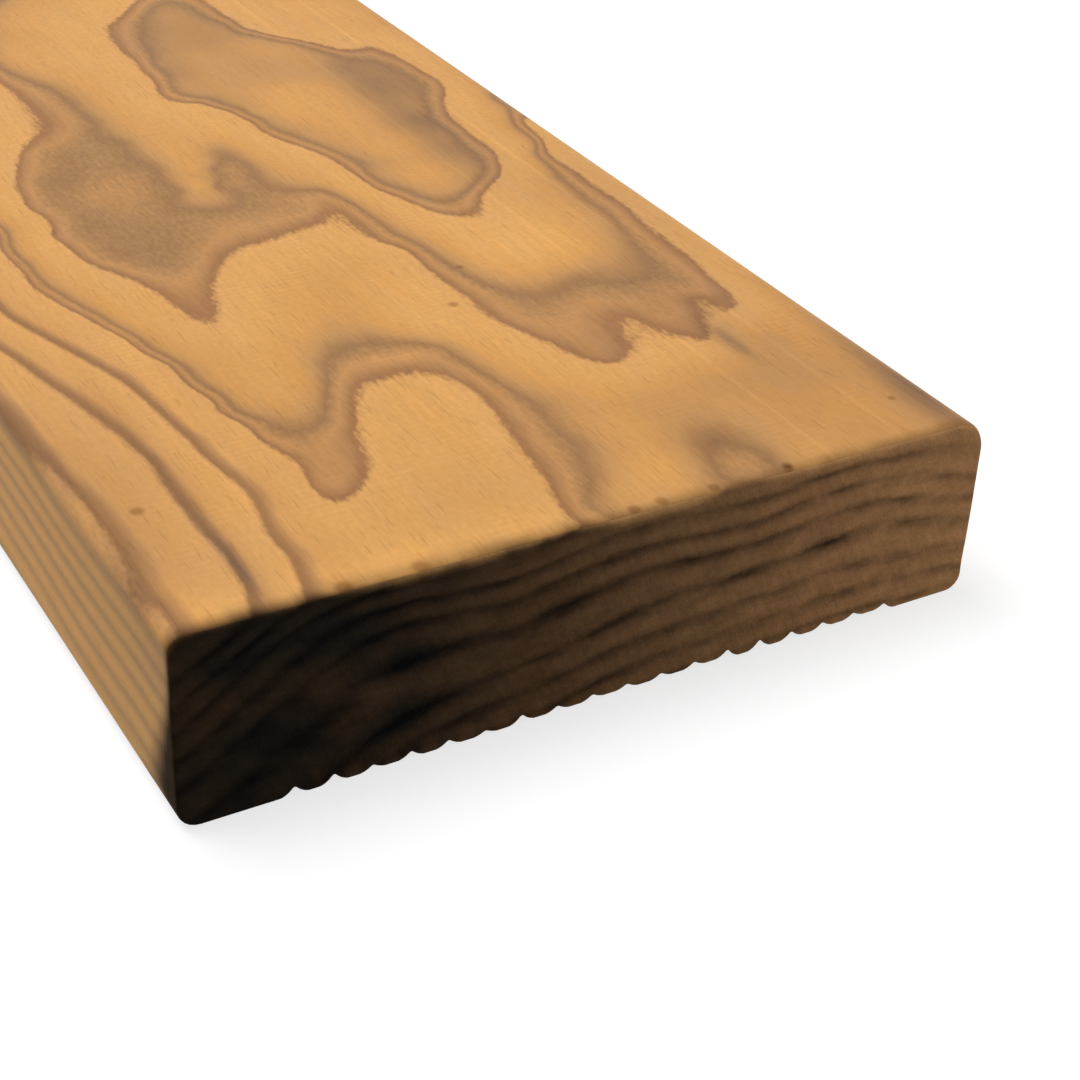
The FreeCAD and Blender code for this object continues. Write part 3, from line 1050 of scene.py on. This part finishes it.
@dataclass(frozen=True)
class PineFinish:
    """What both finishes of the pine share: stored values, patterns and the matt surface."""

    name: str
    roughness: float
    shine: float
    relief: float

    def begin(self) -> bpy.types.Material:
        """Return a new material with an empty node tree."""
        made = bpy.data.materials.new(self.name)
        made.use_nodes = True
        made.node_tree.nodes.clear()
        return made

    def stored(self, tree: bpy.types.NodeTree, name: str) -> bpy.types.NodeSocket:
        """Return the value that the mesh stores under a name."""
        return add_node(tree, "ShaderNodeAttribute", attribute_name=name).outputs["Fac"]

    def patterns(
        self, tree: bpy.types.NodeTree, place: bpy.types.NodeSocket, sizes: dict
    ) -> dict[str, bpy.types.NodeSocket]:
        """Add soft noises that are stretched with the grain.

        Args:
            tree: The node tree.
            place: The place in the board, in metres.
            sizes: Each pattern's size along X, Y and Z in mm, and its detail.

        Returns:
            Each pattern's value, from 0 to 1 and mostly near 0.5.
        """
        made = {}
        for name, (*size, detail) in sizes.items():
            inputs = {"Vector": place, "Scale": [1 / (part * MM) for part in size]}
            stretched = add_node(tree, "ShaderNodeMapping", inputs).outputs["Vector"]
            inputs = {"Vector": stretched, "Scale": 1.0, "Detail": detail}
            made[name] = add_node(tree, "ShaderNodeTexNoise", inputs).outputs["Fac"]
        return made

    def total(
        self,
        tree: bpy.types.NodeTree,
        start: float | bpy.types.NodeSocket,
        terms: list[tuple[bpy.types.NodeSocket, float]],
    ) -> bpy.types.NodeSocket:
        """Add patterns to a start.

        Args:
            tree: The node tree.
            start: The value that they are added to.
            terms: Each pattern, and the amount that it is multiplied by.

        Returns:
            The sum.
        """
        for pattern, amount in terms:
            inputs = {0: pattern, 1: amount, 2: start}
            start = add_node(
                tree, "ShaderNodeMath", inputs, operation="MULTIPLY_ADD"
            ).outputs[0]
        return start

    def tinted(
        self,
        tree: bpy.types.NodeTree,
        colour: bpy.types.NodeSocket,
        share: bpy.types.NodeSocket,
        full: tuple[float, float, float],
    ) -> bpy.types.NodeSocket:
        """Multiply a colour by a tint that grows with a share.

        Args:
            tree: The node tree.
            colour: The colour before.
            share: How much of the tint there is, from 0 to 1.
            full: Linear red, green and blue of the tint at a share of 1.

        Returns:
            The colour after.
        """
        inputs = {0: share, 1: [part - 1 for part in full], 2: (1, 1, 1)}
        tint = add_node(
            tree, "ShaderNodeVectorMath", inputs, operation="MULTIPLY_ADD"
        ).outputs["Vector"]
        return add_node(
            tree, "ShaderNodeVectorMath", {0: colour, 1: tint}, operation="MULTIPLY"
        ).outputs["Vector"]

    def surface(
        self,
        tree: bpy.types.NodeTree,
        colour: bpy.types.NodeSocket,
        height: bpy.types.NodeSocket,
        shine: float | bpy.types.NodeSocket,
    ) -> None:
        """Close the tree with a matt surface of a colour, raised by a height.

        Args:
            tree: The node tree.
            colour: The surface's colour.
            height: The relief, in shares of the finish's depth of relief.
            shine: The surface's specular level.
        """
        inputs = {"Height": height, "Strength": 0.6, "Distance": self.relief * MM}
        bump = add_node(tree, "ShaderNodeBump", inputs).outputs["Normal"]
        skin = add_node(
            tree,
            "ShaderNodeBsdfPrincipled",
            {
                "Base Color": colour,
                "Roughness": self.roughness,
                "IOR": 1.5,
                "Specular IOR Level": shine,
                "Normal": bump,
            },
        ).outputs["BSDF"]
        add_node(tree, "ShaderNodeOutputMaterial", {"Surface": skin})


@dataclass(frozen=True)
class PlanedPine(PineFinish):
    """Brown pressure-treated pine as the planer leaves it, on the tread face, sides and reeds.

    Flat-sawn pine shows broad pale early wood and brown late wood that darkens, thins out once
    more and then stops at a clear edge. Older rings and the steeper sides show one soft brown
    band a ring. Planing leaves a dull satin surface with fine streaks along it and faint
    ripples across. The end's dark stain creeps over its edge, and grows darker towards the
    left where the end's painted shade adds to it.
    """

    name: str = "planed_treated_pine"
    roughness: float = 0.55
    shine: float = 0.14
    relief: float = 0.05
    fibre: float = 0.16
    ripple: float = 1.25
    young_ring: tuple = (
        (0.0, "#C48F55"),
        (0.025, "#DAA15D"),
        (0.3, "#D9A05B"),
        (0.6, "#D19753"),
        (0.72, "#C18E54"),
        (0.78, "#AA7C4C"),
        (0.812, "#9B7046"),
        (0.845, "#AB7E4D"),
        (0.89, "#C08B54"),
        (0.935, "#AF7E4D"),
        (0.97, "#9E6E43"),
        (0.986, "#A57547"),
        (1.0, "#C48F55"),
    )
    old_ring: tuple = (
        (0.0, "#C38F57"),
        (0.06, "#DCA25E"),
        (0.35, "#D9A05B"),
        (0.68, "#D29958"),
        (0.78, "#B58451"),
        (0.86, "#A07346"),
        (0.93, "#9A6C42"),
        (0.97, "#A57747"),
        (1.0, "#C38F57"),
    )
    side: str = "#D9A158"
    # Narrow pale lines that a nick in the planer's knife leaves: across, mm
    nicks: tuple = (46.0, 34.0, -57.0)
    # Small brown flecks: across, along from the near end, radius, mm
    flecks: tuple = (
        (51.3, 10.3, 0.65),
        (9.5, 62.0, 0.9),
        (-53.0, 27.5, 1.1),
        (26.8, 0.7, 1.0),
        (27.1, 1.5, 0.8),
        (-37.3, 1.0, 1.3),
        (-27.3, 0.9, 1.4),
        (3.0, 0.9, 1.0),
        (7.2, 1.1, 1.0),
        (15.2, 1.0, 0.9),
        (16.5, 73.0, 0.7),
    )

    def material(self) -> bpy.types.Material:
        """Build the material's nodes."""
        made = self.begin()
        tree = made.node_tree
        place = add_node(tree, "ShaderNodeTexCoord").outputs["Object"]
        noise = self.patterns(
            tree,
            place,
            {
                "teeth": (0.22, 1.3, 0.22, 1.0),
                "wander": (0.8, 4.0, 0.8, 1.0),
                "fleck": (0.7, 1.5, 0.7, 2.0),
                "fibre": (self.fibre, 14.0, self.fibre, 2.0),
                "streak": (0.5, 10.0, 0.5, 1.0),
                "band": (1.5, 30.0, 1.5, 1.0),
                "canal": (0.3, 4.5, 0.3, 0.0),
                "mottle": (17.0, 38.0, 17.0, 2.0),
                "warmth": (3.5, 22.0, 3.5, 1.0),
                "ripple_patch": (9.0, 14.0, 9.0, 1.0),
            },
        )

        # Ring colours, with tiny teeth and flames along the edges of the late wood
        age = self.total(
            tree,
            self.stored(tree, AGE),
            [(noise["teeth"], 0.014), (noise["wander"], 0.05), (noise["fleck"], 0.05)],
        )
        age = add_node(tree, "ShaderNodeMath", {0: age, 1: -0.057}, operation="ADD")
        age = age.outputs[0]
        share = add_node(tree, "ShaderNodeMath", {0: age}, operation="FRACT").outputs[0]
        aged = add_node(
            tree, "ShaderNodeMapRange", {"Value": age, "From Min": 2.2, "From Max": 2.5}
        ).outputs["Result"]
        apart = add_node(tree, "ShaderNodeSeparateXYZ", {"Vector": place}).outputs
        tread = CAD_BOX[1].z
        deep = add_node(
            tree,
            "ShaderNodeMapRange",
            {"Value": apart["Z"], "From Min": tread - 1 * MM, "From Max": tread - 2.2 * MM},
        ).outputs["Result"]
        old = add_node(
            tree, "ShaderNodeMath", {0: aged, 1: deep}, operation="MAXIMUM"
        ).outputs[0]
        young_colour, old_colour = (
            add_node(
                tree, "ShaderNodeValToRGB", {"Fac": share}, stops=list(stops)
            ).outputs["Color"]
            for stops in (self.young_ring, self.old_ring)
        )
        # A colour Mix node has its colours at inputs 6 and 7, and its result at output 2
        colour = add_node(
            tree,
            "ShaderNodeMix",
            {"Factor": old, 6: young_colour, 7: old_colour},
            data_type="RGBA",
        ).outputs[2]
        # The sides show even soft stripes, darkest where the late wood is
        turn = self.total(tree, -0.82, [(age, 2 * math.pi)])
        stripe = add_node(tree, "ShaderNodeMath", {0: turn}, operation="SINE").outputs[0]
        inputs = {0: linear(self.side)[:3], "Scale": self.total(tree, 1, [(stripe, 0.13)])}
        side = add_node(tree, "ShaderNodeVectorMath", inputs, operation="SCALE")
        even = add_node(tree, "ShaderNodeMath", {0: deep, 1: 0.8}, operation="MULTIPLY")
        colour = add_node(
            tree,
            "ShaderNodeMix",
            {"Factor": even.outputs[0], 6: colour, 7: side.outputs["Vector"]},
            data_type="RGBA",
        ).outputs[2]

        # How light each place is against its ring's own colour
        ripple = add_node(
            tree,
            "ShaderNodeTexWave",
            {"Vector": place, "Scale": 2 * math.pi / 20 / (self.ripple * MM)},
            bands_direction="Y",
        ).outputs["Fac"]
        patch = add_node(
            tree,
            "ShaderNodeMapRange",
            {"Value": noise["ripple_patch"], "From Min": 0.45, "From Max": 0.7},
        ).outputs["Result"]
        rippled = add_node(
            tree, "ShaderNodeMath", {0: ripple, 1: patch}, operation="MULTIPLY"
        ).outputs[0]
        canal = add_node(
            tree,
            "ShaderNodeMapRange",
            {"Value": noise["canal"], "From Min": 0.7, "From Max": 0.78},
        ).outputs["Result"]
        light = self.total(
            tree,
            0.69,
            [
                (noise["fibre"], 0.07),
                (noise["streak"], 0.13),
                (noise["band"], 0.1),
                (noise["fleck"], 0.21),
                (noise["mottle"], 0.11),
                (rippled, 0.045),
                (canal, -0.13),
            ],
        )
        for across in self.nicks:
            gap = add_node(
                tree, "ShaderNodeMath", {0: apart["X"], 1: across * MM, 2: 0.4 * MM},
                operation="COMPARE",
            ).outputs[0]
            light = self.total(tree, light, [(gap, 0.07)])
        specks = 0.0
        for across, along, radius in self.flecks:
            middle = (across * MM, CAD_BOX[0].y + along * MM, tread)
            gap = add_node(
                tree, "ShaderNodeVectorMath", {0: place, 1: middle}, operation="DISTANCE"
            ).outputs["Value"]
            inputs = {
                "Value": gap,
                "From Min": 0.4 * radius * MM,
                "From Max": 1.3 * radius * MM,
                "To Min": 1.0,
                "To Max": 0.0,
            }
            speck = add_node(
                tree, "ShaderNodeMapRange", inputs, interpolation_type="SMOOTHSTEP"
            ).outputs["Result"]
            specks = self.total(tree, specks, [(speck, 1.0)])
        colour = add_node(
            tree, "ShaderNodeVectorMath", {0: colour, "Scale": light}, operation="SCALE"
        ).outputs["Vector"]
        colour = self.tinted(tree, colour, specks, (0.66, 0.6, 0.52))
        warm = self.total(tree, -1.0, [(noise["warmth"], 2.0)])
        colour = self.tinted(tree, colour, warm, (1.02, 0.98, 0.84))

        # Brown patches in streaks, then the end's stain where it has crept over the arris,
        # stronger towards the left with the end's painted shade
        uneven = self.total(tree, 0.4, [(noise["band"], 0.7), (noise["streak"], 0.5)])
        brown = add_node(
            tree, "ShaderNodeMath", {0: self.stored(tree, BROWN), 1: uneven},
            operation="MULTIPLY",
        ).outputs[0]
        colour = self.tinted(tree, colour, brown, (0.67, 0.68, 0.8))
        # The crept darkness follows the end's stain and painted shade, so it is stronger
        # towards the near end's left
        strength = self.total(tree, 0.5, [(self.stored(tree, END_STAIN_AND_SHADE), 0.5)])
        crept = add_node(
            tree, "ShaderNodeMath", {0: self.stored(tree, CREEP), 1: strength},
            operation="MULTIPLY",
        ).outputs[0]
        colour = self.tinted(tree, colour, crept, (0.015, 0.02, 0.045))

        # Fibres, ripples and the harder late wood standing a little proud
        height = add_node(
            tree,
            "ShaderNodeMapRange",
            {"Value": share, "From Min": 0.7, "From Max": 0.95, "To Max": 0.5},
        ).outputs["Result"]
        height = self.total(
            tree, height, [(noise["fibre"], 0.45), (rippled, 0.2), (canal, -0.5)]
        )
        shine = self.total(tree, self.shine, [(crept, -self.shine)])
        self.surface(tree, colour, height, shine)
        return made


@dataclass(frozen=True)
class SawnEndGrain(PineFinish):
    """The same pine cut across by a circular saw, on both ends.

    End grain drinks the treatment, so it is far darker than the planed faces. On the near end
    it goes from red brown at the right to nearly black at the left, partly the treatment's
    stain and partly painted shade. Late wood drinks most and shows as soft dark lines. The cut
    is matt, with torn pores and shallow marks of the saw's teeth, and its upper rim is worn
    back to paler wood.
    """

    name: str = "sawn_pine_end_grain"
    roughness: float = 0.85
    shine: float = 0.03
    relief: float = 0.25
    pore: float = 0.35
    tooth_mark: float = 1.6
    plain: str = "#8E6845"
    rim: str = "#B98A57"
    ring: tuple = (
        (0.0, "#5E442D"),
        (0.16, "#8E6845"),
        (0.42, "#8E6845"),
        (0.62, "#745439"),
        (0.78, "#453223"),
        (0.88, "#271C13"),
        (0.94, "#33251A"),
        (1.0, "#5E442D"),
    )

    def material(self) -> bpy.types.Material:
        """Build the material's nodes."""
        made = self.begin()
        tree = made.node_tree
        place = add_node(tree, "ShaderNodeTexCoord").outputs["Object"]
        noise = self.patterns(
            tree,
            place,
            {
                "teeth": (1.1, 1.1, 0.7, 2.0),
                "wander": (7.0, 7.0, 2.6, 1.5),
                "blotch": (4.5, 4.5, 2.6, 3.0),
                "pore": (self.pore, self.pore, self.pore, 2.0),
            },
        )

        # Late wood shows more where the wood drank more, and where the painted shade of the
        # near end's left is deeper
        age = self.total(
            tree, self.stored(tree, AGE), [(noise["teeth"], 0.16), (noise["wander"], 0.2)]
        )
        age = add_node(tree, "ShaderNodeMath", {0: age, 1: -0.18}, operation="ADD")
        share = add_node(
            tree, "ShaderNodeMath", {0: age.outputs[0]}, operation="FRACT"
        ).outputs[0]
        lines = add_node(
            tree, "ShaderNodeValToRGB", {"Fac": share}, stops=list(self.ring)
        ).outputs["Color"]
        # Stored end darkness: the treatment's stain, with painted shade towards the near end's
        # left
        stain = self.stored(tree, END_STAIN_AND_SHADE)
        soak = self.stored(tree, SOAK)
        strength = self.total(
            tree, -0.4, [(noise["wander"], 1.5), (stain, 0.3), (soak, 0.5)]
        )
        strength = add_node(
            tree, "ShaderNodeMath", {0: strength, 1: 0.0}, operation="ADD", use_clamp=True
        ).outputs[0]
        # A colour Mix node has its colours at inputs 6 and 7, and its result at output 2
        colour = add_node(
            tree,
            "ShaderNodeMix",
            {"Factor": strength, 6: linear(self.plain), 7: lines},
            data_type="RGBA",
        ).outputs[2]
        light = self.total(tree, 0.44, [(noise["pore"], 0.44), (noise["blotch"], 0.7)])
        colour = add_node(
            tree, "ShaderNodeVectorMath", {0: colour, "Scale": light}, operation="SCALE"
        ).outputs["Vector"]

        # The stain together with painted shade, less in paler patches and more where the late
        # wood is soaked
        drunk_and_shaded = self.total(tree, stain, [(soak, 0.11), (noise["blotch"], -0.12)])
        drunk_and_shaded = add_node(tree, "ShaderNodeMath", {0: drunk_and_shaded, 1: 0.06}, operation="ADD")
        drunk_and_shaded = drunk_and_shaded.outputs[0]
        inputs = {"Value": drunk_and_shaded, "From Max": 0.97, "To Max": 0.97}
        drunk_and_shaded = add_node(tree, "ShaderNodeMapRange", inputs).outputs["Result"]
        colour = self.tinted(tree, colour, drunk_and_shaded, (0.005, 0.034, 0.09))
        creep = self.stored(tree, CREEP)
        colour = add_node(
            tree,
            "ShaderNodeMix",
            {"Factor": creep, 6: linear(self.rim), 7: colour},
            data_type="RGBA",
        ).outputs[2]

        # Pores, and the saw's marks leaning across the end
        marks = add_node(
            tree,
            "ShaderNodeMapping",
            {"Vector": place, "Rotation": (0, math.radians(24), 0)},
        ).outputs["Vector"]
        marks = add_node(
            tree,
            "ShaderNodeTexWave",
            {
                "Vector": marks,
                "Scale": 2 * math.pi / 20 / (self.tooth_mark * MM),
                "Distortion": 2.5,
                "Detail": 2.0,
                "Detail Scale": 0.4,
            },
            bands_direction="X",
        ).outputs["Fac"]
        height = self.total(tree, noise["pore"], [(marks, 0.25)])
        self.surface(tree, colour, height, self.shine)
        return made


@dataclass
class Studio:
    """A pale floor and soft light: a broad key from the left and behind, and a low fill."""

    key_level: float = 0.72
    sky_level: float = 0.3
    key_from: tuple[float, float, float] = (-0.25, 0.3, 0.92)
    key_softness: float = 35.0
    fill_power: float = 0.1
    fill_place: tuple[float, float, float] = (0.125, -1.01, 0.02)
    fill_aim: tuple[float, float, float] = (0.05, -0.9, 0.014)
    fill_size: float = 0.05
    floor_reach: float = 15.0
    floor_drop: float = 0.00005
    floor_albedo: float = 0.3

    def shown(self, tree: bpy.types.NodeTree) -> bpy.types.NodeSocket:
        """Return 1 for rays by which the camera sees a thing, mirrored or not, else 0."""
        rays = add_node(tree, "ShaderNodeLightPath").outputs
        shown = rays["Is Camera Ray"]
        for name in ("Is Glossy Ray", "Is Transmission Ray"):
            shown = add_node(
                tree, "ShaderNodeMath", {0: shown, 1: rays[name]}, operation="MAXIMUM"
            ).outputs[0]
        return shown

    def sky(self) -> None:
        """Light the scene evenly with white, and show full white behind the board."""
        world = bpy.data.worlds.new("studio")
        world.use_nodes = True
        tree = world.node_tree
        tree.nodes.clear()
        dim = add_node(tree, "ShaderNodeBackground", {"Strength": self.sky_level})
        dim.inputs["Color"].default_value = (1, 1, 1, 1)
        white = add_node(tree, "ShaderNodeBackground", {"Strength": 1.0})
        white.inputs["Color"].default_value = (1, 1, 1, 1)
        both = add_node(
            tree,
            "ShaderNodeMixShader",
            {0: self.shown(tree), 1: dim.outputs[0], 2: white.outputs[0]},
        ).outputs[0]
        add_node(tree, "ShaderNodeOutputWorld", {"Surface": both})
        bpy.context.scene.world = world

    def floor(self) -> bpy.types.Object:
        """Lay a white floor that keeps a pale shadow and throws little light back."""
        reach, drop = self.floor_reach, -self.floor_drop
        corners = [(-reach, -reach, drop), (reach, -reach, drop)]
        corners += [(reach, reach, drop), (-reach, reach, drop)]
        mesh = bpy.data.meshes.new("studio_floor")
        mesh.from_pydata(corners, [], [(0, 1, 2, 3)])
        floor = bpy.data.objects.new("studio_floor", mesh)
        bpy.context.scene.collection.objects.link(floor)
        made = bpy.data.materials.new("white_studio_floor")
        made.use_nodes = True
        tree = made.node_tree
        tree.nodes.clear()
        grey = (self.floor_albedo,) * 3 + (1.0,)
        matt = add_node(tree, "ShaderNodeBsdfDiffuse", {"Color": grey}).outputs[0]
        lift = add_node(
            tree,
            "ShaderNodeMath",
            {0: self.shown(tree), 1: 1.03 - self.floor_albedo},
            operation="MULTIPLY",
        ).outputs[0]
        white = add_node(tree, "ShaderNodeEmission", {"Strength": lift}).outputs[0]
        both = add_node(tree, "ShaderNodeAddShader", {0: matt, 1: white}).outputs[0]
        add_node(tree, "ShaderNodeOutputMaterial", {"Surface": both})
        mesh.materials.append(made)
        return floor

    def lamps(self) -> None:
        """Hang the key as a broad sun, and stand the small fill by the near end."""
        towards = Vector(self.key_from).normalized()
        key = bpy.data.lights.new("key", "SUN")
        key.energy = math.pi * self.key_level / towards.z
        key.angle = math.radians(self.key_softness)
        lamp = bpy.data.objects.new("key", key)
        lamp.rotation_mode = "QUATERNION"
        lamp.rotation_quaternion = towards.to_track_quat("Z", "Y")
        bpy.context.scene.collection.objects.link(lamp)
        fill = bpy.data.lights.new("fill", "AREA")
        fill.energy = self.fill_power
        fill.size = self.fill_size
        lamp = bpy.data.objects.new("fill", fill)
        lamp.location = self.fill_place
        away = Vector(self.fill_place) - Vector(self.fill_aim)
        lamp.rotation_mode = "QUATERNION"
        lamp.rotation_quaternion = away.to_track_quat("Z", "Y")
        lamp.visible_camera = False
        bpy.context.scene.collection.objects.link(lamp)


@dataclass
class Viewpoint:
    """The photograph's camera, found from the near end's corners and the long edges."""

    azimuth: float = -31.448
    elevation: float = 32.353
    roll: float = -2.918
    lens: float = 71.34
    sensor: float = 36.0
    place: tuple[float, float, float] = (-0.12734, -1.08984, 0.16884)

    def camera(self) -> bpy.types.Object:
        """Aim the camera: azimuth turns it from +Y, elevation tips it down, roll last."""
        turn, tip, lean = map(math.radians, (self.azimuth, self.elevation, self.roll))
        look = Vector(
            (-math.sin(turn) * math.cos(tip), math.cos(turn) * math.cos(tip), -math.sin(tip))
        )
        right = Vector((math.cos(turn), math.sin(turn), 0))
        down = -right.cross(look)
        leant_right = math.cos(lean) * right + math.sin(lean) * down
        leant_down = -math.sin(lean) * right + math.cos(lean) * down
        axes = Matrix((leant_right, -leant_down, -look)).transposed()
        made = bpy.data.cameras.new("photograph")
        made.lens = self.lens
        made.sensor_width = self.sensor
        made.clip_start = 0.01
        camera = bpy.data.objects.new("photograph", made)
        camera.matrix_world = Matrix.Translation(self.place) @ axes.to_4x4()
        bpy.context.scene.collection.objects.link(camera)
        bpy.context.scene.camera = camera
        return camera


def main() -> None:
    """Build the studio, then the board, and hand the board to the frame."""
    logging.basicConfig(level=logging.INFO, format="%(name)s: %(message)s")
    bpy.context.scene.view_settings.view_transform = "Standard"
    Viewpoint().camera()
    studio = Studio()
    studio.sky()
    studio.floor()
    studio.lamps()
    low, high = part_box(NODE)
    reeded = ReededBoard(low, high)
    board = reeded.build()
    reeded.dress(board)
    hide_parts(NODE)
    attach(board, "root")
    faces = len(board.data.polygons)
    LOG.info("%s: %d faces, %.1f mm long", board.name, faces, reeded.length)


if __name__ == "__main__":
    main()
